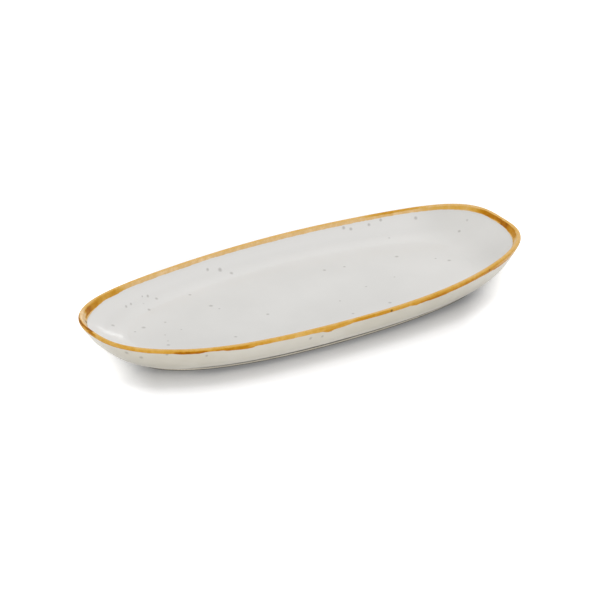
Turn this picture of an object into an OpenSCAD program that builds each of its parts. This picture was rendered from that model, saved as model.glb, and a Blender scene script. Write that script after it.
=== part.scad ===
// Long oval asparagus plate in glazed stoneware: a shallow boat-shaped well, walls that rise a
// little towards the two ends, a rounded lip under an ochre band, and a low bare foot ring.
// The origin is on the table under the middle of the plate, +X runs along the plate, +Z is up.

/* [Plate] */
// Length over the lip
plate_l = 360; // [260:5:420]
// Width over the lip
plate_w = 155; // [110:5:220]
// Height of the lip at the middle of the long sides
side_h = 22.1; // [18:0.1:32]
// How much higher the lip stands at the two ends
end_rise = 4.6; // [0:0.2:10]
// Thickness of the rounded lip
lip_t = 3.6; // [3:0.1:5]

/* [Lip formed by hand] */
// Depth of three slow waves in the outline of the lip
wave_three = 0.3; // [0:0.1:1]
// Depth of five waves in the outline of the lip
wave_five = 0.4; // [0:0.1:1]
// Depth of seven waves in the outline of the lip
wave_seven = 0.6; // [0:0.1:1]
// How much one end of the lip leans below the other
lean_h = 0.2; // [0:0.1:1]
// Height of three slow waves along the top of the lip
crest_wave = 0.2; // [0:0.1:1]

/* [Foot ring] */
// How far the foot ring stands in from the lip at the two ends
foot_in_end = 29; // [20:1:50]
// How far the foot ring stands in from the lip at the long sides
foot_in_side = 12.5; // [8:0.5:20]
// Height of the foot ring where the wall leaves it
foot_h = 2.8; // [1.6:0.1:4]
// Width of the ring that stands on the table
foot_ring_w = 5; // [3:0.5:10]
// Bevel round the outer edge of the ring's sole
foot_edge = 0.5; // [0.2:0.1:1]

/* [Clay] */
// Thickness of the floor in the middle, glaze and all
floor_t = 4.6; // [3.5:0.1:7]
// How much the floor of the well dishes up towards the wall
well_dish = 1; // [0:0.1:2]
// Height of the underside above the table just inside the foot ring
recess_h = 1.3; // [0.6:0.1:1.5]
// How much higher the middle of the underside lies
recess_dome = 0.4; // [0:0.1:0.8]

/* [Glaze] */
// Thickness of every glaze coat
glaze_t = 0.4; // [0.3:0.05:0.6]
// How far the ochre band runs down the outside below the round of the lip
band_out = 1.2; // [0.5:0.1:4]
// How far the ochre band runs down the inside below the round of the lip
band_in = 1.8; // [0.5:0.1:4]

/* [Smoothness] */
// Points round the plate
round_steps = 72; // [48:8:96]
// Steps over the round of the lip
lip_steps = 8; // [6:2:10]

/* [Hidden] */

// Powers of the ovals, as [along, across]: 2 and 2 would be a true ellipse
lip_powers = [2.05, 2.85];
foot_powers = [2.15, 2.75];
// How late the outside and the inside of the wall turn up: 1 would be a straight flare
wall_power = 2.25;
well_power = 3.5;
// Where the floor of the well starts to turn up, as a share of the way out to the lip
turn_up_share = 0.74;
// Where each set of waves has a crest, in degrees round the oval
wave_three_at = 15;
wave_five_at = 20;
wave_seven_at = 32;
lean_at = 200;
crest_wave_at = 5;
// Where the faces have rings of points, as shares of the way up the outside of the wall, out
// over the well, and out over the underside
wall_shares = [0, 0.18, 0.36, 0.52, 0.66, 0.78, 0.89, 1];
well_shares = [0.3, 0.55, 0.74, 0.8, 0.85, 0.89, 0.93, 0.965, 1];
recess_shares = [0.5, 1];
// How far the foot ring is drawn past the table before it is cut flat
cut = 1;

lip_r = lip_t / 2;
mid_l = plate_l - lip_t;
mid_w = plate_w - lip_t;
mid_h = side_h - lip_r;
foot_l = plate_l - 2 * foot_in_end;
foot_w = plate_w - 2 * foot_in_side;
well_mid_h = recess_h + recess_dome + floor_t;
turns = [for (i = [0:round_steps - 1]) 360 * i / round_steps];
all = [0:round_steps - 1];

// A point of an oval at turn u
function oval(l, w, powers, u) =
    [l / 2 * sign(cos(u)) * pow(max(0, 1 - pow(abs(sin(u)), powers.y)), 1 / powers.x), w / 2 * sin(u)];

// The direction square to an oval, outwards, at its point p
function oval_out(l, w, powers, p) =
    let (
        x = 2 * p.x / l,
        y = 2 * p.y / w,
        g = [
            powers.x / l * sign(x) * pow(abs(x), powers.x - 1),
            powers.y / w * sign(y) * pow(abs(y), powers.y - 1)
        ]
    )
    g / norm(g);

// The slow waves that a hand-formed lip has, in plan and in height
function plan_wave(u) =
    wave_three * cos(3 * (u - wave_three_at))
    + wave_five * cos(5 * (u - wave_five_at))
    + wave_seven * cos(7 * (u - wave_seven_at));
function height_wave(u) = lean_h * cos(u - lean_at) + crest_wave * cos(3 * (u - crest_wave_at));

// The line through the middle of the rounded lip, and the outline of the foot ring
lip_plain = [for (u = turns) oval(mid_l, mid_w, lip_powers, u)];
lip_out = [for (p = lip_plain) oval_out(mid_l, mid_w, lip_powers, p)];
lip_line = [for (i = all) lip_plain[i] + lip_out[i] * plan_wave(turns[i])];
lip_h = [for (i = all) mid_h + end_rise * pow(2 * lip_plain[i].x / mid_l, 2) + height_wave(turns[i])];
foot_line = [for (u = turns) oval(foot_l, foot_w, foot_powers, u)];
foot_out = [for (p = foot_line) oval_out(foot_l, foot_w, foot_powers, p)];

// Slope of the outside of the wall at share f of the way up, and its top where the lip takes over
function wall_slope(i, f) =
    atan2(
        wall_power * (lip_h[i] - foot_h) * pow(f, wall_power - 1),
        (lip_line[i] - foot_line[i]) * lip_out[i]
    );
wall_top = [for (i = all) lip_line[i] + lip_out[i] * lip_r * sin(wall_slope(i, 1))];
wall_top_h = [for (i = all) lip_h[i] - lip_r * cos(wall_slope(i, 1))];

// The same for the well at share s of the way out: a shallow dish that turns up into the wall
function well_turn(s) = max(0, s - turn_up_share) / (1 - turn_up_share);
function well_slope(i, s) =
    atan2(
        2 * well_dish * s
        + well_power * (lip_h[i] - well_mid_h - well_dish) * pow(well_turn(s), well_power - 1)
        / (1 - turn_up_share),
        lip_line[i] * lip_out[i]
    );
well_top = [for (i = all) lip_line[i] - lip_out[i] * lip_r * sin(well_slope(i, 1))];
well_top_h = [for (i = all) lip_h[i] + lip_r * cos(well_slope(i, 1))];

// Points at depth d below each glazed face: outside of the wall, round of the lip, well, underside
function wall_point(i, f, d) =
    let (
        a = wall_slope(i, f),
        p = foot_line[i] + (wall_top[i] - foot_line[i]) * f - lip_out[i] * d * sin(a)
    )
    [p.x, p.y, foot_h + (wall_top_h[i] - foot_h) * pow(f, wall_power) + d * cos(a)];
function lip_point(i, k, d) =
    let (
        start = wall_slope(i, 1) - 90,
        end = well_slope(i, 1) + 90,
        a = start + (end - start) * k / lip_steps,
        p = lip_line[i] + lip_out[i] * (lip_r - d) * cos(a)
    )
    [p.x, p.y, lip_h[i] + (lip_r - d) * sin(a)];
function well_point(i, s, d) =
    let (
        a = well_slope(i, s),
        p = well_top[i] * s + lip_out[i] * d * sin(a),
        rise = well_top_h[i] - well_mid_h - well_dish
    )
    [p.x, p.y, well_mid_h + well_dish * s * s + rise * pow(well_turn(s), well_power) - d * cos(a)];
function recess_point(i, s, d) =
    let (p = foot_point(i, foot_ring_w, 0))
    [p.x * s, p.y * s, recess_top(s) + d];
function recess_top(s) = recess_h + recess_dome * (1 - s * s);

// A point of the foot ring at height z, this far in from its outline
function foot_point(i, inset, z) =
    let (p = foot_line[i] - foot_out[i] * inset)
    [p.x, p.y, z];

// The shares at which the ochre band ends on the outside and on the inside
function wall_end(i) = 1 - band_out * cos(wall_slope(i, 1)) / ((wall_top[i] - foot_line[i]) * lip_out[i]);
function well_end(i) = 1 - band_in * cos(well_slope(i, 1)) / (well_top[i] * lip_out[i]);

// Rings of points at depth d: up the wall, over the lip, out over the well and the underside
function wall_rings(d) = [for (f = wall_shares) [for (i = all) wall_point(i, f * wall_end(i), d)]];
function lip_rings(d) = [for (k = [0:lip_steps]) [for (i = all) lip_point(i, k, d)]];
function well_rings(d) = [for (s = well_shares) [for (i = all) well_point(i, s * well_end(i), d)]];
function recess_rings(d) = [for (s = recess_shares) [for (i = all) recess_point(i, s, d)]];
function band_rings(d) =
    concat(
        [[for (i = all) wall_point(i, wall_end(i), d)]],
        lip_rings(d),
        [[for (i = all) well_point(i, well_end(i), d)]]
    );
function reversed(rings) = [for (k = [len(rings) - 1:-1:0]) rings[k]];
function flat(lists) = [for (l = lists) for (p = l) p];

// The two triangles of a four-sided patch, split along its shorter diagonal
function patch(p, a, b, c, d) =
    norm(p[a] - p[c]) <= norm(p[b] - p[d]) ? [[a, b, c], [a, c, d]] : [[a, b, d], [b, c, d]];

// The patches between ring j and ring k, where ring 0 starts at point `first`
function strip(p, first, j, k) =
    [for (i = all)
        let (n = (i + 1) % round_steps, a = first + j * round_steps, b = first + k * round_steps)
        each patch(p, b + i, b + n, a + n, a + i)
    ];

// A closed solid from its lower middle point, out over its rings and in to its upper one
module lofted_disc(low_h, rings, high_h) {
    p = concat([[0, 0, low_h]], flat(rings), [[0, 0, high_h]]);
    last = 1 + (len(rings) - 1) * round_steps;
    polyhedron(p, concat(
        [for (i = all) [0, 1 + i, 1 + (i + 1) % round_steps]],
        [for (k = [0:len(rings) - 2]) each strip(p, 1, k, k + 1)],
        [for (i = all) [len(p) - 1, last + (i + 1) % round_steps, last + i]]
    ));
}

// A closed hoop whose section runs through its rings and back to the first
module lofted_hoop(rings) {
    p = flat(rings);
    polyhedron(p, [for (k = [0:len(rings) - 1]) each strip(p, 0, k, (k + 1) % len(rings))]);
}

// The pressed and fired clay: floor, wall, lip and foot ring in one
module stoneware_body() {
    color("#d8cdb8")
        difference() {
            lofted_disc(
                recess_top(0) + glaze_t,
                concat(
                    recess_rings(glaze_t),
                    [[for (i = all) foot_point(i, foot_ring_w, -cut)]],
                    [[for (i = all) foot_point(i, foot_edge + cut, -cut)]],
                    [[for (i = all) foot_point(i, 0, foot_edge)]],
                    wall_rings(glaze_t),
                    lip_rings(glaze_t),
                    reversed(well_rings(glaze_t))
                ),
                well_mid_h - glaze_t
            );
            // the sole is cut flat on the table
            translate([-plate_l / 2, -plate_w / 2, -2 * cut])
                cube([plate_l, plate_w, 2 * cut]);
        }
}

// The speckled off-white coat that lines the well
module well_glaze() {
    color("#deddd9")
        lofted_disc(
            well_mid_h - glaze_t,
            concat(well_rings(glaze_t), reversed(well_rings(0))),
            well_mid_h
        );
}

// The same glaze on the outside of the wall, from the foot ring up to the band
module wall_glaze() {
    color("#cfcabd")
        lofted_hoop(concat(wall_rings(0), reversed(wall_rings(glaze_t))));
}

// The ochre band, brushed over the lip and a little way down both of its sides
module rim_band() {
    color("#c98f2e")
        lofted_hoop(concat(band_rings(0), reversed(band_rings(glaze_t))));
}

// The coat on the underside, inside the foot ring, whose sole is wiped bare
module foot_recess_glaze() {
    color("#d9d6ce")
        lofted_disc(
            recess_top(0),
            concat(recess_rings(0), reversed(recess_rings(glaze_t))),
            recess_top(0) + glaze_t
        );
}

stoneware_body();
well_glaze();
wall_glaze();
rim_band();
foot_recess_glaze();
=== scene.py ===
import math

import bpy
import numpy as np
from mathutils import Matrix, Vector, noise


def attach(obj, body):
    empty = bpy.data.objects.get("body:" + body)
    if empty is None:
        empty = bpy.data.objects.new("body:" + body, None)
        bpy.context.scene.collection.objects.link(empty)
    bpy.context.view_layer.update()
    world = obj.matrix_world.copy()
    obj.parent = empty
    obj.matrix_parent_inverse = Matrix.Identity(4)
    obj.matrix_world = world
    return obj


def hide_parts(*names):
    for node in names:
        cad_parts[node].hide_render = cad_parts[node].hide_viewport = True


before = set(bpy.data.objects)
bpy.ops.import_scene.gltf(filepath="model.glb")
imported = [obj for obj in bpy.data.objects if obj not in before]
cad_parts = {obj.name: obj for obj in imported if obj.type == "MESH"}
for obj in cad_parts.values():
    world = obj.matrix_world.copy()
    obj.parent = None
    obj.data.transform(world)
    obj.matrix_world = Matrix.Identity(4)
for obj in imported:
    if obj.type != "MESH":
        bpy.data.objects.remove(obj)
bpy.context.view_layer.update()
mm = 0.001


# the plate's own shape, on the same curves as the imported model
plate = {
    "length": 360 * mm,
    "width": 155 * mm,
    "sideHeight": 22.1 * mm,     # top of the lip at the middle of the long sides
    "endRise": 4.6 * mm,
    "lipThickness": 3.6 * mm,
    "lipPowers": (2.05, 2.85),
    "planWaves": ((3, 0.3 * mm, 15), (5, 0.4 * mm, 20), (7, 0.6 * mm, 32)),   # count, depth, crest
    "heightWaves": ((1, 0.2 * mm, 200), (3, 0.2 * mm, 5)),
    "wallPower": 2.25,
    "glaze": 0.4 * mm,
    "stepsRound": 1080,
    "measuringSteps": 20001,
}
foot = {
    "inAtEnds": 29 * mm,
    "inAtSides": 12.5 * mm,
    "height": 2.8 * mm,
    "ringWidth": 5 * mm,
    "edge": 0.5 * mm,
    "powers": (2.15, 2.75),
    "recess": 1.3 * mm,
    "dome": 0.4 * mm,
    "shadeFrom": 0.42,           # painted shade darkens the wall's glaze below this share of the way up ...
    "shadeFull": 0.36,           # ... and fully so below this one
    "shadeEnds": (106 * mm, 130 * mm),    # the painted shade fades out between these distances from the middle
}
well = {
    "floor": 4.6 * mm,
    "dish": 1 * mm,
    "power": 3.5,
    "turnUp": 0.74,
}
lipRadius = plate["lipThickness"] / 2
lipSize = (plate["length"] - plate["lipThickness"], plate["width"] - plate["lipThickness"])
footSize = (plate["length"] - 2 * foot["inAtEnds"], plate["width"] - 2 * foot["inAtSides"])
recessMiddle = foot["recess"] + foot["dome"]
wellMiddle = recessMiddle + well["floor"]
glaze = plate["glaze"]


def ovalPoints(size, powers, turn):
    side = np.clip(1 - np.abs(np.sin(turn)) ** powers[1], 0, None) ** (1 / powers[0])
    return np.stack([size[0] / 2 * np.sign(np.cos(turn)) * side, size[1] / 2 * np.sin(turn)], 1)


def ovalOutward(size, powers, points):
    x, y = 2 * points[:, 0] / size[0], 2 * points[:, 1] / size[1]
    slope = np.stack([
        powers[0] / size[0] * np.sign(x) * np.abs(x) ** (powers[0] - 1),
        powers[1] / size[1] * np.sign(y) * np.abs(y) ** (powers[1] - 1),
    ], 1)
    return slope / np.linalg.norm(slope, axis=1)[:, None]


def waves(turn, parts):
    return sum(depth * np.cos(count * (turn - math.radians(crest))) for count, depth, crest in parts)


def lipLine(turn):
    plain = ovalPoints(lipSize, plate["lipPowers"], turn)
    out = ovalOutward(lipSize, plate["lipPowers"], plain)
    line = plain + out * waves(turn, plate["planWaves"])[:, None]
    height = plate["sideHeight"] - lipRadius + plate["endRise"] * (2 * plain[:, 0] / lipSize[0]) ** 2
    return line, out, height + waves(turn, plate["heightWaves"])


def evenTurns(count):
    # turns that space the points of the lip evenly along it, and the lip's whole length
    fine = np.linspace(0, 2 * math.pi, plate["measuringSteps"])
    line = lipLine(fine)[0]
    run = np.concatenate([[0], np.cumsum(np.linalg.norm(np.diff(line, axis=0), axis=1))])
    return np.interp(np.arange(count) * run[-1] / count, run, fine), run[-1]


turns, lipRun = evenTurns(plate["stepsRound"])
lip, outward, lipHeight = lipLine(turns)
footLine = ovalPoints(footSize, foot["powers"], turns)
footOutward = ovalOutward(footSize, foot["powers"], footLine)
flare = ((lip - footLine) * outward).sum(1)
reach = (lip * outward).sum(1)


def wallSlope(share):
    rise = plate["wallPower"] * (lipHeight - foot["height"]) * share ** (plate["wallPower"] - 1)
    return np.arctan2(rise, flare)


def wellTurn(share):
    return np.clip(share - well["turnUp"], 0, None) / (1 - well["turnUp"])


def wellSlope(share):
    climb = lipHeight - wellMiddle - well["dish"]
    rise = 2 * well["dish"] * share
    rise = rise + well["power"] * climb * wellTurn(share) ** (well["power"] - 1) / (1 - well["turnUp"])
    return np.arctan2(rise, reach)


# where the lip's round begins on the outside and ends on the inside
outerSlope, innerSlope = wallSlope(1.0), wellSlope(1.0)
wallTop = lip + outward * (lipRadius * np.sin(outerSlope))[:, None]
wallTopHeight = lipHeight - lipRadius * np.cos(outerSlope)
wellTop = lip - outward * (lipRadius * np.sin(innerSlope))[:, None]
wellTopHeight = lipHeight + lipRadius * np.cos(innerSlope)
lipArc = (innerSlope - outerSlope + math.pi) * lipRadius
wallLength = ((wallTop - footLine) * outward).sum(1)
wellLength = (wellTop * outward).sum(1)


def ring(points, height):
    return np.column_stack([points, np.broadcast_to(height, len(points))])


# a ring of points at a depth below the glazed face; share and depth may change round the plate
def wallRing(share, depth=0.0):
    share = np.broadcast_to(share, len(turns)).astype(float)
    slope = wallSlope(share)
    points = footLine + (wallTop - footLine) * share[:, None] - outward * (depth * np.sin(slope))[:, None]
    height = foot["height"] + (wallTopHeight - foot["height"]) * share ** plate["wallPower"]
    return ring(points, height + depth * np.cos(slope))


def lipRing(share, depth=0.0):
    start, end = outerSlope - math.pi / 2, innerSlope + math.pi / 2
    angle = start + (end - start) * share
    points = lip + outward * ((lipRadius - depth) * np.cos(angle))[:, None]
    return ring(points, lipHeight + (lipRadius - depth) * np.sin(angle))


def wellRing(share, depth=0.0):
    share = np.broadcast_to(share, len(turns)).astype(float)
    slope = wellSlope(share)
    points = wellTop * share[:, None] + outward * (depth * np.sin(slope))[:, None]
    rise = wellTopHeight - wellMiddle - well["dish"]
    height = wellMiddle + well["dish"] * share ** 2 + rise * wellTurn(share) ** well["power"]
    return ring(points, height - depth * np.cos(slope))


def footRing(inset, height):
    return ring(footLine - footOutward * inset, height)


def recessRing(share, depth=0.0):
    points = (footLine - footOutward * foot["ringWidth"]) * share
    return ring(points, foot["recess"] + foot["dome"] * (1 - share ** 2) + depth)


def smooth(value):
    value = np.clip(value, 0, 1)
    return value * value * (3 - 2 * value)


seeds = {"outerEdge": 1, "innerEdge": 3, "wanderAlong": 5, "wanderAcross": 6, "well": 11, "wall": 12}


def slowNoise(points, size, seed):
    shift = Vector((seed * 7.3, seed * 3.1, seed * 5.7))     # every seed reads the noise in another place
    return np.array([noise.noise(Vector(point) / size + shift) for point in points.tolist()])


# the ochre glaze, brushed over the lip: how far it runs and how thick it lies
# along is mm round the lip from its tip at +X, by +Y
# across is mm over the lip from where the outside becomes round
ochre = {
    "soft": 0.4,                 # mm over which its outer edge ends
    "softInside": 1.3,           # it thins out further on the inside
    "proud": 0.06 * mm,          # how far it stands above the white glaze ...
    "riseOver": 0.5 * mm,        # ... which it reaches so far from its edge
    "plainDepth": 0.34,          # from 0, thin and pale, to 1, thick and brown
    "deeperOutside": 0.18,
    "outsideShares": (0.5, 0.35),    # of the way over the lip: where the outside ends, and how softly
    "thinnerInside": 0.15,
    "insideShares": (0.7, 0.3),      # where the inside begins, and how softly
    # lower edge on the outside: along, mm below the round of the lip
    "outerEdge": (
        (0, 3), (10, 2.6), (30, 1.6), (60, 1.1), (95, 2.2), (120, 1), (150, 1.6), (185, 0.9), (214, 2.4),
        (240, 1.1), (262, 1.7), (290, 0.8), (322, 2.4), (350, 1.4), (371, 2.2), (400, 1.2), (425, 0.5),
        (445, 0.2), (463, 0.3), (468, 0.8), (495, 0.8), (499, 1.6), (513, 1.6), (518, 0.4), (531, 0.4),
        (534, 1.3), (540, 1.9), (545, 2.4), (550, 2.9), (555, 2.2), (557, 1.2), (570, 1), (585, 1.1),
        (600, 1.3), (604, 1.3), (613, 2), (616, 3.5), (618.5, 4.1), (621, 3.5), (623, 2.6), (632, 2),
        (638, 0.8), (645, 0.7), (672, 0.9), (690, 0.8), (693, 1.7), (696, 2.4), (699, 1.9), (706, 1.8),
        (710, 2.4), (724, 2.4), (727, 1.9), (735, 2), (748, 1.8), (760, 1.9), (768, 2.2), (774, 2.4),
        (779, 3.7), (798, 4), (806, 3.4), (818, 3), (840, 3)),
    # upper edge on the inside: along, mm beyond the round of the lip
    "innerEdge": (
        (0, 3.4), (8, 3.5), (24, 3.1), (40, 3), (48, 2.6), (60, 2.1), (120, 1.9), (180, 2.1), (240, 1.6),
        (300, 2), (330, 2.1), (338, 3.1), (352, 3.4), (360, 4), (368, 4.8), (376, 5.4), (384, 6), (400, 6),
        (410, 4.6), (420, 3.2), (430, 1.9), (460, 1.5), (590, 0.9), (606, 0.9), (760, 1.8), (800, 3.6),
        (815, 5), (832, 5.4), (840, 5), (848, 3.8)),
    "edgeWaves": ((0.25, 10 * mm), (0.2, 3.5 * mm)),     # mm that both edges stray, and over what length
    "edgeLimits": (0.1, 6.5),
    # stretches and pools of their own depth, a later one over an earlier one: along from and to,
    # across from and to, depth, and the mm over which the ends fade
    "patches": (
        # the near side
        (465, 497, -0.8, 0.6, 0.52, 6), (495, 521, -1.7, 1, 0.86, 3), (519, 525, -1, 1.2, 0.56, 2),
        (526, 531, -0.2, 0.8, 0.75, 2), (531, 552, -2.6, 1.2, 0.75, 4), (544, 556, -3.2, -0.6, 0.74, 2),
        (556, 571, -1.4, 0.8, 0.54, 6), (571, 600, -1.2, 2, 0.4, 8), (600, 616, -1.6, 1, 0.42, 6),
        (612, 624, -4.4, -0.8, 0.6, 3), (640, 673, -1.2, 1.8, 0.63, 8), (693, 699, -2.4, 0, 0.62, 2),
        (699, 725, -2.5, 0.3, 0.74, 5), (725, 740, -2.1, 0.2, 0.68, 5), (740, 774, -2.2, 0.9, 0.7, 8),
        (774, 803, -3.7, -0.6, 0.68, 5), (803, 816, -3, -0.2, 0.5, 5), (800, 845, 0.5, 5.4, 0.33, 10),
        # the right end, inside
        (20, 70, 5.2, 8.2, 0.38, 20), (70, 112, 2.6, 5.4, 0.5, 14), (5, 30, 5.6, 8.4, 0.62, 12),
        (850, 880, 5.2, 7.8, 0.78, 8), (836, 857, 5.4, 9.2, 0.87, 6), (826, 845, 5.6, 9.8, 0.66, 8),
        (800, 830, 8.4, 11.2, 0.5, 9), (12, 17, 7.2, 8.6, 0.85, 3),
        # the left end
        (330, 385, 4.6, 8.8, 0.5, 22), (362, 388, 5.8, 10, 0.66, 12), (373, 388, 5.6, 9.8, 0.86, 5),
        (386, 391, 8.4, 10.2, 0.65, 2), (384, 404, 2.6, 8.4, 0.15, 7), (402, 420, 3.6, 10, 0.22, 6),
        (392, 404, 1.4, 2.8, 0.95, 3), (402, 412, 1.8, 3.3, 0.95, 3), (410, 420, 2.2, 3.8, 0.85, 3),
        (417, 425, 2.4, 4.8, 0.92, 3), (422, 431, 0.8, 2.6, 0.8, 3), (398, 420, -0.8, 1.6, 0.42, 5),
        (430, 462, -0.6, 0.8, 0.6, 6), (430, 465, 0.8, 3.4, 0.42, 8)),
    "patchSoft": 0.8,            # mm over which a patch fades across the lip
    "wander": (1.2, 0.35),       # mm that a patch's outline strays, along and across ...
    "wanderSizes": (4 * mm, 3 * mm),      # ... and over what length
}
lipMm = lipRun / mm
alongLip = np.arange(len(turns)) * lipMm / len(turns)
lipPoints = ring(lip, lipHeight)


def edgeLine(name):
    places, distances = zip(*ochre[name])
    line = np.interp(alongLip, places, distances, period=lipMm)
    for step, (height, size) in enumerate(ochre["edgeWaves"]):
        line = line + height * slowNoise(lipPoints, size, seeds[name] + step)
    return np.clip(line, *ochre["edgeLimits"]) * mm


lowEdge, highEdge = edgeLine("outerEdge"), edgeLine("innerEdge")


def wallShareAt(down):
    return 1 - down * np.cos(outerSlope) / wallLength


def wellShareAt(inwards):
    return 1 - inwards * np.cos(innerSlope) / wellLength


wallEnd, wellEnd = wallShareAt(lowEdge), wellShareAt(highEdge)


def within(value, low, high, soft):
    # 1 between low and high, fading to 0 over soft at both ends
    half = (high - low) / 2
    soft = min(soft, 2 * half)
    return smooth((half - np.abs(value - (low + high) / 2)) / soft + 0.5)


def ochreAt(across):
    # cover and depth of the ochre on a ring of points that lies so far over the lip
    points = ring(lip, lipHeight + across)
    share = across / lipArc
    cover = smooth((across + lowEdge) / (ochre["soft"] * mm) + 0.5)
    cover = cover * smooth((lipArc + highEdge - across) / (ochre["softInside"] * mm) + 0.5)
    outsideEnd, outsideSoft = ochre["outsideShares"]
    insideStart, insideSoft = ochre["insideShares"]
    depth = ochre["plainDepth"] + ochre["deeperOutside"] * smooth((outsideEnd - share) / outsideSoft)
    depth = depth - ochre["thinnerInside"] * smooth((share - insideStart) / insideSoft)
    sizes = ochre["wanderSizes"]
    along = alongLip + ochre["wander"][0] * slowNoise(points, sizes[0], seeds["wanderAlong"])
    over = across / mm + ochre["wander"][1] * slowNoise(points, sizes[1], seeds["wanderAcross"])
    for start, end, low, high, value, fade in ochre["patches"]:
        # the short way round from the middle of the patch
        gap = (along - (start + end) / 2 + lipMm / 2) % lipMm - lipMm / 2
        half = (end - start) / 2
        mask = within(gap, -half, half, fade) * within(over, low, high, ochre["patchSoft"])
        depth = depth + (value - depth) * mask
    return cover, np.clip(depth, 0, 1)


def loft(name, rings, low=None, high=None, closed=False, marks=None, hard=()):
    # rings run from the underside outwards and up; low and high are the middle points that close a disc
    # marks are values for each point, and hard names the rings whose edges stay sharp
    count = len(turns)
    points = np.concatenate(rings)
    around = np.arange(count)
    after = (around + 1) % count
    pairs = [(k, k + 1) for k in range(len(rings) - 1)] + ([(len(rings) - 1, 0)] if closed else [])
    faces = []
    for lower, upper in pairs:
        a, b = lower * count, upper * count
        faces += np.stack([a + around, a + after, b + after, b + around], 1).tolist()
    for middle, first, flip in ((low, 0, True), (high, (len(rings) - 1) * count, False)):
        if middle is not None:
            pair = (after, around) if flip else (around, after)
            faces += np.stack([np.full(count, len(points)), first + pair[0], first + pair[1]], 1).tolist()
            points = np.concatenate([points, [middle]])
    mesh = bpy.data.meshes.new(name)
    mesh.from_pydata(points.tolist(), [], faces)
    mesh.polygons.foreach_set("use_smooth", np.ones(len(mesh.polygons), bool))
    spare = np.zeros(len(points) - len(rings) * count)
    for label, values in (marks or {}).items():
        layer = mesh.attributes.new(label, "FLOAT", "POINT")
        layer.data.foreach_set("value", np.concatenate([*values, spare]).astype(np.float32))
    if hard:
        edges = np.empty(len(mesh.edges) * 2, int)
        mesh.edges.foreach_get("vertices", edges)
        edges = edges.reshape(-1, 2)
        rows = edges // count
        alongRing = (rows[:, 0] == rows[:, 1]) & (edges.max(1) < len(rings) * count)
        sharp = alongRing & np.isin(rows[:, 0], hard)
        mesh.attributes.new("sharp_edge", "BOOLEAN", "EDGE").data.foreach_set("value", sharp)
    mesh.update()
    piece = bpy.data.objects.new(name, mesh)
    bpy.context.scene.collection.objects.link(piece)
    return piece


def place(piece, material, node):
    piece.data.materials.append(material)
    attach(piece, "root")
    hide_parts(node)
    print("made", piece.name, len(piece.data.polygons), "faces")


def feed(tree, inputs, values):
    # a node's output is linked, and a number or colour is set on the socket itself
    for key, value in values.items():
        if isinstance(value, bpy.types.NodeSocket):
            tree.links.new(value, inputs[key])
        else:
            inputs[key].default_value = value


def add(tree, kind, values=None, **settings):
    made = tree.nodes.new(kind)
    for key, value in settings.items():
        setattr(made, key, value)
    feed(tree, made.inputs, values or {})
    return made


def calc(tree, operation, *values):
    return add(tree, "ShaderNodeMath", dict(enumerate(values)), operation=operation).outputs[0]


def combine(tree, operation, values):
    total = values[0]
    for value in values[1:]:
        total = calc(tree, operation, total, value)
    return total


def vectorMath(tree, operation, values, output="Vector"):
    return add(tree, "ShaderNodeVectorMath", values, operation=operation).outputs[output]


def mixColor(tree, factor, a, b):
    colorA, colorB, colorOut = 6, 7, 2      # the node's colour sockets among those for other kinds of value
    made = add(tree, "ShaderNodeMix", {"Factor": factor}, data_type="RGBA")
    feed(tree, made.inputs, {colorA: a, colorB: b})
    return made.outputs[colorOut]


def toLinear(red, green, blue):
    # a colour as a picture shows it, 0 to 255
    def one(level):
        level = level / 255
        return level / 12.92 if level <= 0.04045 else ((level + 0.055) / 1.055) ** 2.4
    return one(red), one(green), one(blue), 1


def group(name, inputs, outputs):
    # an input has a kind and the value it starts from, an output only a kind
    tree = bpy.data.node_groups.new(name, "ShaderNodeTree")
    for label, (kind, value) in inputs.items():
        made = tree.interface.new_socket(name=label, in_out="INPUT", socket_type="NodeSocket" + kind)
        made.default_value = value
    for label, kind in outputs.items():
        tree.interface.new_socket(name=label, in_out="OUTPUT", socket_type="NodeSocket" + kind)
    return tree, tree.nodes.new("NodeGroupInput").outputs, tree.nodes.new("NodeGroupOutput").inputs


def useGroup(tree, made, values):
    box = tree.nodes.new("ShaderNodeGroup")
    box.node_tree = made
    feed(tree, box.inputs, values)
    return box.outputs


def noiseTexture(tree, position, scale, detail, output="Fac"):
    values = {"Vector": position, "Scale": scale, "Detail": detail}
    return add(tree, "ShaderNodeTexNoise", values).outputs[output]


def ramp(tree, factor, stops):
    made = add(tree, "ShaderNodeValToRGB", {"Fac": factor})
    elements = made.color_ramp.elements
    while len(elements) < len(stops):
        elements.new(0.5)
    for element, (position, color) in zip(elements, stops):
        element.position, element.color = position, color
    return made.outputs["Color"]


def smoothRange(tree, value, low, high, toLow=0.0, toHigh=1.0):
    values = {"Value": value, "From Min": low, "From Max": high, "To Min": toLow, "To Max": toHigh}
    return add(tree, "ShaderNodeMapRange", values, interpolation_type="SMOOTHSTEP").outputs["Result"]


def positionOf(tree):
    return add(tree, "ShaderNodeTexCoord").outputs["Object"]


def axis(tree, position, name):
    return add(tree, "ShaderNodeSeparateXYZ", {0: position}).outputs[name]


def attribute(tree, name):
    return add(tree, "ShaderNodeAttribute", attribute_name=name).outputs["Fac"]


cloudShape = {"detail": 3.0, "range": (0.3, 0.7)}


def makeClouds():
    # slow changes of tone, as the glaze lies thicker and thinner
    inputs = {"Position": ("Vector", (0, 0, 0)), "Size": ("Float", 30 * mm)}
    tree, given, result = group("glazeClouds", inputs, {"Value": "Float"})
    scale = calc(tree, "DIVIDE", 1.0, given["Size"])
    broad = noiseTexture(tree, given["Position"], scale, cloudShape["detail"])
    tree.links.new(smoothRange(tree, broad, *cloudShape["range"]), result["Value"])
    return tree


skinShape = {
    "rippleSize": 9 * mm,
    "peelSize": 1.6 * mm,
    "pinholeSpacing": 7 * mm,
    "pinholeShares": (0.02, 0.05),        # a pinhole's floor and rim, as shares of the spacing
    "relief": 0.12 * mm,
}


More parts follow.
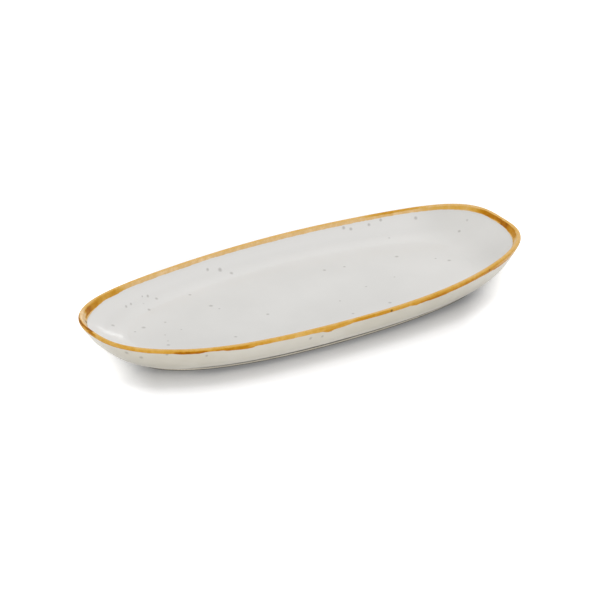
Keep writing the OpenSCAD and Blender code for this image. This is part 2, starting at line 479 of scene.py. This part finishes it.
def makeSkin():
    # height of a fired glaze: a slow ripple, a finer orange peel and a few pinholes
    inputs = {
        "Position": ("Vector", (0, 0, 0)),
        "Ripple": ("Float", 1.0),
        "Peel": ("Float", 1.0),
        "Pinholes": ("Float", 1.0),
    }
    tree, given, result = group("glazeSkin", inputs, {"Height": "Float"})
    ripple = noiseTexture(tree, given["Position"], 1 / skinShape["rippleSize"], 1.0)
    peel = noiseTexture(tree, given["Position"], 1 / skinShape["peelSize"], 1.0)
    height = calc(tree, "ADD", calc(tree, "MULTIPLY", ripple, given["Ripple"]),
                  calc(tree, "MULTIPLY", peel, given["Peel"]))
    values = {"Vector": given["Position"], "Scale": 1 / skinShape["pinholeSpacing"]}
    fromHole = add(tree, "ShaderNodeTexVoronoi", values).outputs["Distance"]
    hole = smoothRange(tree, fromHole, *skinShape["pinholeShares"], 1.0, 0.0)
    hole = calc(tree, "MULTIPLY", hole, given["Pinholes"])
    tree.links.new(calc(tree, "SUBTRACT", height, hole), result["Height"])
    return tree


speckLook = {
    "color": toLinear(96, 84, 70),
    "strength": 0.36,
    "spacing": 19 * mm,          # of the scattered ones
    "radius": 0.38 * mm,
    "scatteredStray": (0.5 * mm, 0.35 * mm),     # their outlines stray over this length and by this much
    "scatteredEdge": (0.6, 1.2),                 # full inside and gone outside these many radii
    "placedStray": (0.6 * mm, 0.5 * mm),
    "placedEdge": (0.25, 1.4),
    "spread": 3.3,               # a placed speck bleeds into the glaze to so many times its radius
    # x, y and radius in mm
    "inWell": (
        (-34, 69.5, 0.4), (-23.7, 68.3, 0.5), (-16.7, 63.9, 0.45), (-60.5, 52.7, 0.35), (-93, 59.5, 0.35),
        (-98, 59.3, 0.22), (-87.3, 56.8, 0.4), (-116, 53.7, 0.35), (-99.9, 47.5, 0.4), (-58, 29.2, 0.48),
        (-31.6, -5.6, 0.4), (-139.3, 36.3, 0.48), (-119.9, 24.9, 0.5), (-129.2, 22.4, 0.28),
        (-101.6, 24, 0.3), (-117.9, -3.8, 0.24), (-121.7, -9.8, 0.42), (-72.9, -25.1, 0.38),
        (83, 65.7, 0.4), (88, 63.7, 0.38),
        (102, 61, 0.36), (111.4, 59.6, 0.36), (136.1, 50.7, 0.42), (165.6, 27, 0.36), (157.4, 25.6, 0.35),
        (111.7, 49, 0.3), (101.2, 23.6, 0.45), (129, -3.5, 0.42), (60, 30.6, 0.32), (44.7, 33.8, 0.38),
        (54.3, -6.2, 0.25), (24.7, -16, 0.26), (52.8, -39.3, 0.42), (20.2, -39.7, 0.34), (-55.6, 21.8, 0.24),
        (122.7, 4.9, 0.25), (80.4, -4.3, 0.22), (-110.7, 55.3, 0.32), (-100.2, 54.6, 0.26),
        (-98.7, 7.3, 0.22), (-113.9, 5.9, 0.24)),
    "onWall": (
        (-171.1, -28.8, 0.5), (-163.3, -36.2, 0.48), (-150.2, -50.3, 0.36), (-123.1, -61.9, 0.36),
        (-40.2, -74, 0.42), (-29.9, -74.2, 0.36), (-23.1, -75.6, 0.3)),
    "onLip": ((-171.2, 22, 0.5), (-167.3, 29.2, 0.6), (29.3, -76.7, 0.34), (125.5, -62, 0.3)),
}


def strayed(tree, position, length, amount):
    # the position, shifted a little from place to place so that outlines aren't round
    stray = noiseTexture(tree, position, 1 / length, 1.0, "Color")
    stray = vectorMath(tree, "SUBTRACT", {0: stray, 1: (0.5, 0.5, 0.5)})
    stray = vectorMath(tree, "SCALE", {0: stray, "Scale": amount})
    return vectorMath(tree, "ADD", {0: position, 1: stray})


def makeIronSpecks():
    # scattered specks: one in some of the cells, of uneven size and outline
    inputs = {
        "Position": ("Vector", (0, 0, 0)),
        "Spacing": ("Float", 20 * mm),
        "Radius": ("Float", 0.4 * mm),
        "Share": ("Float", 0.5),
    }
    tree, given, result = group("ironSpecks", inputs, {"Mask": "Float"})
    moved = strayed(tree, given["Position"], *speckLook["scatteredStray"])
    values = {"Vector": moved, "Scale": calc(tree, "DIVIDE", 1.0, given["Spacing"])}
    cells = add(tree, "ShaderNodeTexVoronoi", values).outputs
    sizeChance, speckChance = add(tree, "ShaderNodeSeparateColor", {"Color": cells["Color"]}).outputs[:2]
    distance = calc(tree, "MULTIPLY", cells["Distance"], given["Spacing"])
    radius = calc(tree, "MULTIPLY", given["Radius"], calc(tree, "ADD", 0.5, sizeChance))
    mask = smoothRange(tree, calc(tree, "DIVIDE", distance, radius), *speckLook["scatteredEdge"], 1.0, 0.0)
    chosen = calc(tree, "LESS_THAN", speckChance, given["Share"])
    tree.links.new(calc(tree, "MULTIPLY", mask, chosen), result["Mask"])
    return tree


def makePlacedSpecks(spots, points):
    # the specks that can be told apart one by one, each at the height of the nearest point of the glazed face
    tree, given, result = group("placedSpecks", {"Position": ("Vector", (0, 0, 0))}, {"Mask": "Float"})
    moved = strayed(tree, given["Position"], *speckLook["placedStray"])
    full, gone = speckLook["placedEdge"]
    masks = []
    for x, y, radius in spots:
        nearest = points[np.argmin((points[:, 0] - x * mm) ** 2 + (points[:, 1] - y * mm) ** 2)]
        spot = (x * mm, y * mm, float(nearest[2]))
        radius = radius * mm * speckLook["spread"]
        gap = vectorMath(tree, "DISTANCE", {0: moved, 1: spot}, "Value")
        masks.append(smoothRange(tree, gap, full * radius, gone * radius, 1.0, 0.0))
    tree.links.new(combine(tree, "MAXIMUM", masks), result["Mask"])
    return tree


ochreLook = {
    # depth and tone
    "tones": ((0.0, toLinear(248, 226, 190)), (0.08, toLinear(244, 212, 164)), (0.2, toLinear(228, 190, 132)),
              (0.4, toLinear(219, 172, 84)), (0.55, toLinear(206, 150, 50)), (0.7, toLinear(192, 130, 18)),
              (0.85, toLinear(176, 108, 2)), (1.0, toLinear(118, 70, 6))),
    # size, detail and strength of its unevenness
    "streaks": (3.5 * mm, 2.0, 0.28),
    "broad": (16 * mm, 1.0, 0.2),
    "grain": (0.7 * mm, 2.0, 0.16),
    "ragged": 0.5,               # how much of it frets the edges
    "coverEdge": (0.25, 0.75),
    "leastCover": 0.001,
}


def makeOchreGlaze():
    # ochre glaze over a white one: pale where it is thin, amber and brown where it lies thick
    inputs = {
        "Base": ("Color", (0.7, 0.7, 0.68, 1)),
        "Position": ("Vector", (0, 0, 0)),
        "Cover": ("Float", 1.0),
        "Depth": ("Float", 0.5),
    }
    tree, given, result = group("ochreGlaze", inputs, {"Color": "Color"})
    depth, uneven = given["Depth"], {}
    for name in ("streaks", "broad", "grain"):
        size, detail, strength = ochreLook[name]
        uneven[name] = calc(tree, "SUBTRACT", noiseTexture(tree, given["Position"], 1 / size, detail), 0.5)
        depth = calc(tree, "ADD", depth, calc(tree, "MULTIPLY", uneven[name], strength))
    ragged = calc(tree, "ADD", uneven["streaks"], uneven["grain"])
    ragged = calc(tree, "MULTIPLY", ragged, ochreLook["ragged"])
    cover = smoothRange(tree, calc(tree, "ADD", given["Cover"], ragged), *ochreLook["coverEdge"])
    cover = calc(tree, "MULTIPLY", cover, calc(tree, "GREATER_THAN", given["Cover"], ochreLook["leastCover"]))
    tone = ramp(tree, depth, ochreLook["tones"])
    tree.links.new(mixColor(tree, cover, given["Base"], tone), result["Color"])
    return tree


clouds, skin, ironSpecks, ochreGlaze = makeClouds(), makeSkin(), makeIronSpecks(), makeOchreGlaze()
print("shader groups made")


plainGloss = {"coatRoughness": 0.09, "specular": 0.2}


def newMaterial(name, look):
    material = bpy.data.materials.new(name)
    material.use_nodes = True
    tree = material.node_tree
    shader = tree.nodes["Principled BSDF"].inputs
    shader["Roughness"].default_value = look["roughness"]
    shader["Coat Weight"].default_value = look["coat"]
    shader["Coat Roughness"].default_value = plainGloss["coatRoughness"]
    shader["Specular IOR Level"].default_value = look.get("specular", plainGloss["specular"])
    return material, tree, shader


def bumpFrom(tree, height, distance, shader):
    made = add(tree, "ShaderNodeBump", {"Height": height, "Distance": distance, "Strength": 1.0})
    tree.links.new(made.outputs["Normal"], shader["Normal"])


def addSkin(tree, position, look, shader):
    values = {
        "Position": position,
        "Ripple": look["ripple"],
        "Peel": look["peel"],
        "Pinholes": look["pinholes"],
    }
    bumpFrom(tree, useGroup(tree, skin, values)["Height"], skinShape["relief"], shader)


def underOchre(tree, base, position):
    values = {"Base": base, "Position": position}
    values.update(Cover=attribute(tree, "ochreCover"), Depth=attribute(tree, "ochreDepth"))
    return useGroup(tree, ochreGlaze, values)["Color"]


glazeLooks = {
    "speckledWell": {
        "color": toLinear(219, 218, 215), "cloud": toLinear(215, 214, 211), "cloudSize": 45 * mm,
        # painted light: whiter higher up, to lift the shade on the rising wall: from and to a height, and by
        # what share
        "paintedLight": toLinear(229, 228, 226), "paintedLightSteps": ((6.35 * mm, 7 * mm, 0.6), (7 * mm, 14 * mm, 0.4)),
        "paintedLightFade": (122 * mm, 160 * mm),     # the painted light fades out from here to here along the plate
        "roughness": 0.34, "coat": 0.2, "ripple": 0.5, "peel": 0.04, "pinholes": 0.12, "speckShare": 0.0,
    },
    "outerWall": {
        "color": toLinear(216, 212, 202), "cloud": toLinear(208, 203, 190), "cloudSize": 30 * mm,
        # painted light: whiter lower down, to lift the shade where the wall turns down to its foot
        "paintedLight": toLinear(238, 235, 226), "paintedLightSteps": ((10 * mm, 3.4 * mm, 1.0),), "footShade": 0.92,
        "roughness": 0.32, "coat": 0.1, "ripple": 0.5, "peel": 0.05, "pinholes": 0.12, "speckShare": 0.25,
    },
    "undersideCoat": {
        "color": toLinear(214, 210, 200), "cloud": toLinear(204, 199, 187), "cloudSize": 25 * mm,
        "roughness": 0.36, "coat": 0.1, "ripple": 0.6, "peel": 0.06, "pinholes": 0.2, "speckShare": 0.3,
    },
}
# colour of the painted shade at the wall's foot, in the groove and where the ring meets the table
paintedShade = toLinear(58, 54, 44)


def withPaintedLight(tree, position, color, look):
    # painted light: a lighter colour mixed in by height, against the shade on the walls
    height = axis(tree, position, "Z")
    steps = [smoothRange(tree, height, low, high, 0.0, share) for low, high, share in look["paintedLightSteps"]]
    paintedLightMask = combine(tree, "ADD", steps)
    if "paintedLightFade" in look:
        before = smoothRange(tree, axis(tree, position, "X"), *look["paintedLightFade"], 1.0, 0.0)
        paintedLightMask = calc(tree, "MULTIPLY", paintedLightMask, before)
    return mixColor(tree, paintedLightMask, color, look["paintedLight"])


def whiteGlaze(name, specks=None, ochreEdge=True):
    look = glazeLooks[name]
    material, tree, shader = newMaterial(name, look)
    position = positionOf(tree)
    cloud = useGroup(tree, clouds, {"Position": position, "Size": look["cloudSize"]})["Value"]
    color = mixColor(tree, cloud, look["color"], look["cloud"])
    if "paintedLight" in look:
        color = withPaintedLight(tree, position, color, look)
    if "footShade" in look:
        # painted shade: the wall's glaze darkened near its foot, where it meets the foot ring
        footShadeMask = calc(tree, "MULTIPLY", attribute(tree, "footShade"), look["footShade"])
        color = mixColor(tree, footShadeMask, color, paintedShade)
    values = {"Position": position, "Spacing": speckLook["spacing"], "Radius": speckLook["radius"]}
    values["Share"] = look["speckShare"]
    mask = useGroup(tree, ironSpecks, values)["Mask"]
    if specks:
        mask = calc(tree, "MAXIMUM", mask, useGroup(tree, specks, {"Position": position})["Mask"])
    mask = calc(tree, "MULTIPLY", mask, speckLook["strength"])
    color = mixColor(tree, mask, color, speckLook["color"])
    if ochreEdge:
        color = underOchre(tree, color, position)
    tree.links.new(color, shader["Base Color"])
    addSkin(tree, position, look, shader)
    return material


bandLook = {
    "roughness": 0.26, "coat": 0.03, "specular": 0.07, "ripple": 0.6, "peel": 0.12, "pinholes": 0.2,
    "spot": toLinear(70, 46, 20), "spotStrength": 0.85,
}


def ochreBand(spots):
    material, tree, shader = newMaterial("ochreLip", bandLook)
    position = positionOf(tree)
    color = underOchre(tree, glazeLooks["outerWall"]["color"], position)
    mask = useGroup(tree, spots, {"Position": position})["Mask"]
    color = mixColor(tree, calc(tree, "MULTIPLY", mask, bandLook["spotStrength"]), color, bandLook["spot"])
    tree.links.new(color, shader["Base Color"])
    addSkin(tree, position, bandLook, shader)
    return material


clayLook = {
    "roughness": 0.8, "coat": 0.0,
    "color": toLinear(228, 222, 208), "toasted": toLinear(214, 207, 192), "toastSize": 12 * mm,
    "sand": toLinear(170, 156, 134), "sandSize": 0.5 * mm, "sandRange": (0.35, 0.75), "sandStrength": 0.4,
    "sandRelief": 0.15 * mm,
    "sandRoughness": (0.3, 0.8, 0.7, 0.92),      # the sand's noise from and to, and the roughness there
    "speckSpacing": 5 * mm, "speckRadius": 0.3 * mm, "speckShare": 0.5, "speckStrength": 0.7,
    "shadeStrength": 0.94,
    "shadeSoft": 0.1 * mm,
    "soleFull": 0.35 * mm,       # the painted shade line where the ring meets the table is full below this height ...
    "soleEnd": 0.8 * mm,         # ... and gone above this one
}
# a groove under the wall's glaze parts it from the foot ring
groove = {
    "low": 1.65 * mm,
    "deep": 0.5 * mm,
    "bevel": 0.1 * mm,           # height over which its lower lip turns in ...
    "bevelShare": 0.7,           # ... by this share of its depth
    "round": 0.15 * mm,
    "roof": 0.2 * mm,            # its roof begins so far under the wall's edge ...
    "roofIn": 0.2 * mm,          # ... and meets the glaze so far in ...
    "roofUp": 0.1 * mm,          # ... and so far up
}


def bareClay():
    # fired and unglazed: a sandy, slightly toasted ring that the table has rubbed
    material, tree, shader = newMaterial("bareClay", clayLook)
    position = positionOf(tree)
    cloud = useGroup(tree, clouds, {"Position": position, "Size": clayLook["toastSize"]})["Value"]
    color = mixColor(tree, cloud, clayLook["color"], clayLook["toasted"])
    sand = noiseTexture(tree, position, 1 / clayLook["sandSize"], 3.0)
    grains = smoothRange(tree, sand, *clayLook["sandRange"], 0.0, clayLook["sandStrength"])
    color = mixColor(tree, grains, color, clayLook["sand"])
    values = {"Position": position, "Spacing": clayLook["speckSpacing"], "Radius": clayLook["speckRadius"]}
    values["Share"] = clayLook["speckShare"]
    specks = calc(tree, "MULTIPLY", useGroup(tree, ironSpecks, values)["Mask"], clayLook["speckStrength"])
    color = mixColor(tree, specks, color, speckLook["color"])
    # painted shade in the groove and where the ring meets the table, but not on the sole's flat
    height, soft = axis(tree, position, "Z"), clayLook["shadeSoft"]
    inGroove = smoothRange(tree, height, groove["low"] - soft, groove["low"] + soft)
    atSole = smoothRange(tree, height, clayLook["soleFull"], clayLook["soleEnd"], 1.0, 0.0)
    atSole = calc(tree, "MULTIPLY", atSole, smoothRange(tree, height, 0.0, soft))
    shadeMask = calc(tree, "MULTIPLY", calc(tree, "MAXIMUM", inGroove, atSole), clayLook["shadeStrength"])
    tree.links.new(mixColor(tree, shadeMask, color, paintedShade), shader["Base Color"])
    tree.links.new(smoothRange(tree, sand, *clayLook["sandRoughness"]), shader["Roughness"])
    bumpFrom(tree, sand, clayLook["sandRelief"], shader)
    return material


# rings of each mesh, as shares of the way up a face or out from the middle
meshDetail = {
    "wallShares": (
        0, 0.02, 0.05, 0.1, 0.16, 0.2, 0.24, 0.28, 0.31, 0.34, 0.37, 0.4, 0.46, 0.52, 0.57, 0.62, 0.66, 0.7,
        0.74, 0.78, 0.81, 0.84, 0.87, 0.89, 0.91, 0.93, 0.945, 0.96, 0.97, 0.98, 0.987, 0.994, 1),
    "wellShares": (
        0.06, 0.2, 0.35, 0.48, 0.58, 0.66, 0.72, 0.75, 0.77, 0.79, 0.81, 0.825, 0.84, 0.85, 0.86, 0.87, 0.88,
        0.89, 0.9, 0.908, 0.916, 0.924, 0.932, 0.938, 0.944, 0.95, 0.956, 0.961, 0.966, 0.971, 0.975, 0.979,
        0.983, 0.986, 0.989, 0.992, 0.9945, 0.997, 0.999, 1),
    "hiddenShares": (0, 0.2, 0.4, 0.6, 0.8, 0.92, 1),
    "recessShares": (0.05, 0.3, 0.5, 0.65, 0.8, 0.9, 0.97, 1),
    "clayWallShares": (0, 0.18, 0.36, 0.52, 0.66, 0.78, 0.89, 1),
    "clayWellShares": (0.97, 0.94, 0.9, 0.86, 0.8, 0.74, 0.5, 0.1),
    "soleInsets": (3.8 * mm, 2.8 * mm, 1.8 * mm, 1.1 * mm),
    "ringHeights": (0.9 * mm, 1.3 * mm),
    "edgeAngles": (0, 30, 60, 90),
    "lipSteps": 22,
    "hiddenLipSteps": 8,
    "flankSteps": 14,
    "sunk": 0.06 * mm,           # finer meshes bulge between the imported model's points, so they lie deeper
    "handWave": 0.1 * mm,
    "handWaveSize": 45 * mm,
    "waveFades": {"well": 8, "wall": 4},     # how quickly the wave grows away from a face's edges
}
sunk, proud = meshDetail["sunk"], ochre["proud"]
hiddenLip = np.linspace(0, 1, meshDetail["hiddenLipSteps"] + 1)


def handWave(points, face, *fromEdges):
    # the slight unevenness of a hand-finished face, none at its edges
    fade = 1
    for fromEdge in fromEdges:
        fade = fade * np.clip(fromEdge * meshDetail["waveFades"][face], 0, 1)
    lift = slowNoise(points, meshDetail["handWaveSize"], seeds[face]) * meshDetail["handWave"] * fade
    return points + np.column_stack([np.zeros((len(points), 2)), lift])


def painted(samples):
    # samples are rings of points and how far over the lip each lies
    found = [ochreAt(across) for points, across in samples]
    marks = {"ochreCover": [cover for cover, depth in found], "ochreDepth": [depth for cover, depth in found]}
    return [points for points, across in samples], marks


def withHidden(marks, before=0, after=0):
    # the rings that lie against the clay carry no marks
    none = [np.zeros(len(turns))]
    return {label: none * before + values + none * after for label, values in marks.items()}


def paintedFootShade(at):
    # painted shade at the foot of the wall, fading towards the ends of the plate
    start, end = foot["shadeEnds"]
    footShadeMask = smooth((foot["shadeFrom"] - at) / (foot["shadeFrom"] - foot["shadeFull"]))
    return footShadeMask * smooth((end - np.abs(footLine[:, 0])) / (end - start))


def makeSpeckledWell():
    samples = []
    for share in meshDetail["wellShares"]:
        at = share * wellEnd
        points = handWave(wellRing(at, sunk + proud), "well", wellEnd - at)
        samples.append((points, lipArc + wellLength * (1 - at) / np.cos(innerSlope)))
    rings, marks = painted(samples)
    under = [wellRing(share * wellEnd, glaze) for share in meshDetail["hiddenShares"][1:]]
    marks = withHidden({label: values[::-1] for label, values in marks.items()}, before=len(under))
    piece = loft("speckledWell", under + rings[::-1], low=(0, 0, wellMiddle - glaze),
                 high=(0, 0, wellMiddle - sunk - proud), marks=marks, hard=(len(under) - 1, len(under)))
    specks = makePlacedSpecks(speckLook["inWell"], np.concatenate(rings))
    place(piece, whiteGlaze("speckledWell", specks), "well_glaze")


def makeOuterWall():
    samples, footShades = [], []
    for share in meshDetail["wallShares"]:
        at = share * wallEnd
        points = handWave(wallRing(at, sunk + proud), "wall", wallEnd - at, at)
        samples.append((points, -wallLength * (1 - at) / np.cos(outerSlope)))
        # the painted shade at the wall's foot
        footShades.append(paintedFootShade(at))
    rings, marks = painted(samples)
    marks["footShade"] = footShades
    inner = [wallRing(share * wallEnd, glaze) for share in meshDetail["hiddenShares"][::-1]]
    piece = loft("outerWall", rings + inner, closed=True, marks=withHidden(marks, after=len(inner)),
                 hard=(0, len(rings) - 1, len(rings), len(rings) + len(inner) - 1))
    specks = makePlacedSpecks(speckLook["onWall"], np.concatenate(rings))
    place(piece, whiteGlaze("outerWall", specks), "wall_glaze")


def makeOchreLip():
    # up the outside, over the lip and down the inside; at both edges it rises from the white glaze
    flank = np.linspace(0, 1, meshDetail["flankSteps"] + 1)
    samples = []
    for share in flank[:-1]:
        down = lowEdge * (1 - share)
        under = proud * (1 - smooth((lowEdge - down) / ochre["riseOver"]))
        samples.append((wallRing(wallShareAt(down), sunk + under), -down))
    for share in np.linspace(0, 1, meshDetail["lipSteps"] + 1):
        samples.append((lipRing(share, sunk), share * lipArc))
    for share in flank[1:]:
        inwards = highEdge * share
        under = proud * (1 - smooth((highEdge - inwards) / ochre["riseOver"]))
        samples.append((wellRing(wellShareAt(inwards), sunk + under), lipArc + inwards))
    rings, marks = painted(samples)
    back = [wellRing(wellEnd, glaze)] + [lipRing(share, glaze) for share in hiddenLip[::-1]]
    back += [wallRing(wallEnd, glaze)]
    piece = loft("ochreLip", rings + back, closed=True, marks=withHidden(marks, after=len(back)),
                 hard=(0, len(rings) - 1, len(rings), len(rings) + len(back) - 1))
    spots = makePlacedSpecks(speckLook["onLip"], np.concatenate(rings))
    place(piece, ochreBand(spots), "rim_band")


def makeUndersideCoat():
    rings = [recessRing(share) for share in meshDetail["recessShares"]]
    top = [recessRing(share, glaze) for share in meshDetail["recessShares"][::-1]]
    piece = loft("undersideCoat", rings + top, low=(0, 0, recessMiddle), high=(0, 0, recessMiddle + glaze),
                 hard=(len(rings) - 1, len(rings)))
    place(piece, whiteGlaze("undersideCoat", ochreEdge=False), "foot_recess_glaze")


def footCorners():
    # inset and height of the rings of the foot, from the recess under the sole and up to the wall
    edge = foot["edge"]
    angles = np.radians(meshDetail["edgeAngles"])
    rounding = [(edge * (1 - math.sin(a)), edge * (1 - math.cos(a))) for a in angles]
    corners = [(foot["ringWidth"] - inset, height) for inset, height in rounding[::-1]]
    corners += [(inset, 0) for inset in meshDetail["soleInsets"]] + rounding
    corners += [(0, height) for height in (*meshDetail["ringHeights"], groove["low"] - groove["bevel"])]
    corners += [(groove["deep"] * groove["bevelShare"], groove["low"])]
    corners += [(groove["deep"], groove["low"] + groove["round"])]
    corners += [(groove["deep"], foot["height"] - groove["roof"])]
    return corners + [(groove["roofIn"], foot["height"] + groove["roofUp"])]


def makeClayFoot():
    # the clay itself, bare only on the foot ring
    rings = [recessRing(share, glaze) for share in meshDetail["recessShares"]]
    rings += [footRing(inset, height) for inset, height in footCorners()]
    rings += [wallRing(share, glaze) for share in meshDetail["clayWallShares"]]
    rings += [lipRing(share, glaze) for share in hiddenLip[1:]]
    rings += [wellRing(share, glaze) for share in meshDetail["clayWellShares"]]
    piece = loft("clayFoot", rings, low=(0, 0, recessMiddle + glaze), high=(0, 0, wellMiddle - glaze))
    place(piece, bareClay(), "stoneware_body")


makeSpeckledWell()
makeOuterWall()
makeOchreLip()
makeUndersideCoat()
makeClayFoot()
print("plate made")


def direction(azimuth, elevation):
    a, e = math.radians(azimuth), math.radians(elevation)
    return Vector((math.sin(a) * math.cos(e), -math.cos(a) * math.cos(e), math.sin(e)))


photo = {
    "size": 600,             # pixels across the square picture
    "azimuth": -34,
    "elevation": 25,
    "pixelsPerMm": 1.375,
    "anchor": (0, 0, 20.4 * mm),          # this point of the plate ...
    "anchorPixel": (299.5, 283.55),       # ... lies at this place in the picture
    "distance": 3,
    "clip": (0.01, 20),
}


def makeCamera():
    a = math.radians(photo["azimuth"])
    right = Vector((math.cos(a), math.sin(a), 0))
    back = direction(photo["azimuth"], photo["elevation"])
    up = back.cross(right)
    pixel = mm / photo["pixelsPerMm"]
    middle = photo["size"] / 2
    aim = Vector(photo["anchor"]) + right * (middle - photo["anchorPixel"][0]) * pixel
    aim = aim - up * (middle - photo["anchorPixel"][1]) * pixel
    data = bpy.data.cameras.new("photoCamera")
    data.type = "ORTHO"
    data.ortho_scale = photo["size"] * pixel
    data.clip_start, data.clip_end = photo["clip"]
    camera = bpy.data.objects.new("photoCamera", data)
    turned = Matrix((right, up, back)).transposed().to_4x4()
    camera.matrix_world = Matrix.Translation(aim + back * photo["distance"]) @ turned
    bpy.context.scene.collection.objects.link(camera)
    bpy.context.scene.camera = camera


stage = {
    "floorSize": 6.0,
    "floorColor": (0.9, 0.9, 0.9, 1),
    "seenFloor": (1, 1, 1, 1),
    "seenGlow": 0.1,
    "paintedContactShadow": (0.4, 0.4, 0.41, 1),    # painted shadow on the floor close under the plate
    "contactReach": 30 * mm,
    "contactSamples": 12,
    # painted light washes the shadow out past both ends: direction over the floor, middle, from, to and level
    "washAcross": (0.829, -0.559, 0),
    "washMiddle": 6 * mm,
    "washFrom": 108 * mm,
    "washTo": 152 * mm,
    "washPaintedLight": 0.5,
    "worldLevel": 0.62,
    "white": (1, 1, 1, 1),
}
# where each lamp stands, its width and height, and its watts
lamps = {
    "backLight": {"azimuth": 146, "elevation": 60, "distance": 3.5, "size": (2.5, 2.0), "power": 44},
    "frontFill": {"azimuth": -34, "elevation": 14, "distance": 3.5, "size": (2.5, 0.8), "power": 38},
    "windowStreak": {"azimuth": 133, "elevation": 18, "distance": 1.6, "size": (0.5, 0.14), "power": 0.9,
                     "mirrored": True},
    "sillStreak": {"azimuth": 133, "elevation": 6, "distance": 1.6, "size": (0.6, 0.08), "power": 0.5,
                   "mirrored": True},
}


def seenRays(tree):
    paths = add(tree, "ShaderNodeLightPath").outputs
    kinds = ("Is Camera Ray", "Is Glossy Ray", "Is Transmission Ray")
    return combine(tree, "MAXIMUM", [paths[kind] for kind in kinds])


def makePaper():
    # plain paper, which the camera sees whiter, with the plate's shadow on it, deepened by painted shadow
    # close under the plate and washed out by painted light past both ends
    material = bpy.data.materials.new("floorPaper")
    material.use_nodes = True
    tree = material.node_tree
    tree.nodes.clear()
    plain = add(tree, "ShaderNodeBsdfDiffuse", {"Color": stage["floorColor"]})
    values = {"Distance": stage["contactReach"]}
    openness = add(tree, "ShaderNodeAmbientOcclusion", values, samples=stage["contactSamples"]).outputs["AO"]
    along = vectorMath(tree, "DOT_PRODUCT", {0: positionOf(tree), 1: stage["washAcross"]}, "Value")
    past = calc(tree, "ABSOLUTE", calc(tree, "SUBTRACT", along, stage["washMiddle"]))
    wash = smoothRange(tree, past, stage["washFrom"], stage["washTo"])
    # painted shadow where the plate encloses the floor, lifted past both ends
    paper = mixColor(tree, calc(tree, "MAXIMUM", openness, wash), stage["paintedContactShadow"], stage["seenFloor"])
    lit = add(tree, "ShaderNodeBsdfDiffuse", {"Color": paper})
    # painted light: the camera sees the paper glow more past both ends
    level = calc(tree, "ADD", calc(tree, "MULTIPLY", wash, stage["washPaintedLight"]), stage["seenGlow"])
    glow = add(tree, "ShaderNodeEmission", {"Color": stage["white"], "Strength": level})
    seen = add(tree, "ShaderNodeAddShader", {0: lit.outputs[0], 1: glow.outputs[0]})
    both = add(tree, "ShaderNodeMixShader", {0: seenRays(tree), 1: plain.outputs[0], 2: seen.outputs[0]})
    add(tree, "ShaderNodeOutputMaterial", {"Surface": both.outputs[0]})
    return material


def makeFloor():
    mesh = bpy.data.meshes.new("floor")
    half = stage["floorSize"] / 2
    corners = [(-half, -half, 0), (half, -half, 0), (half, half, 0), (-half, half, 0)]
    mesh.from_pydata(corners, [], [(0, 1, 2, 3)])
    mesh.materials.append(makePaper())
    floor = bpy.data.objects.new("floor", mesh)
    bpy.context.scene.collection.objects.link(floor)


def makeWorld():
    world = bpy.data.worlds.new("studio")
    world.use_nodes = True
    tree = world.node_tree
    tree.nodes.clear()
    plain = add(tree, "ShaderNodeBackground", {"Color": stage["white"], "Strength": stage["worldLevel"]})
    seen = add(tree, "ShaderNodeBackground", {"Color": stage["white"], "Strength": 1.0})
    both = add(tree, "ShaderNodeMixShader", {0: seenRays(tree), 1: plain.outputs[0], 2: seen.outputs[0]})
    add(tree, "ShaderNodeOutputWorld", {"Surface": both.outputs[0]})
    bpy.context.scene.world = world


def makeLamp(name, azimuth, elevation, distance, size, power, mirrored=False):
    towards = direction(azimuth, elevation)
    data = bpy.data.lights.new(name, "AREA")
    data.shape = "RECTANGLE"
    data.size, data.size_y = size
    data.energy = power
    lamp = bpy.data.objects.new(name, data)
    lamp.visible_glossy = mirrored       # a broad soft lamp gives light without showing in the glaze
    lamp.location = towards * distance
    lamp.rotation_mode = "QUATERNION"
    lamp.rotation_quaternion = towards.to_track_quat("Z", "Y")
    bpy.context.scene.collection.objects.link(lamp)


makeCamera()
makeFloor()
makeWorld()
for name, values in lamps.items():
    makeLamp(name, **values)
bpy.context.scene.view_settings.view_transform = "Standard"
print("camera, floor, world and lamps made")
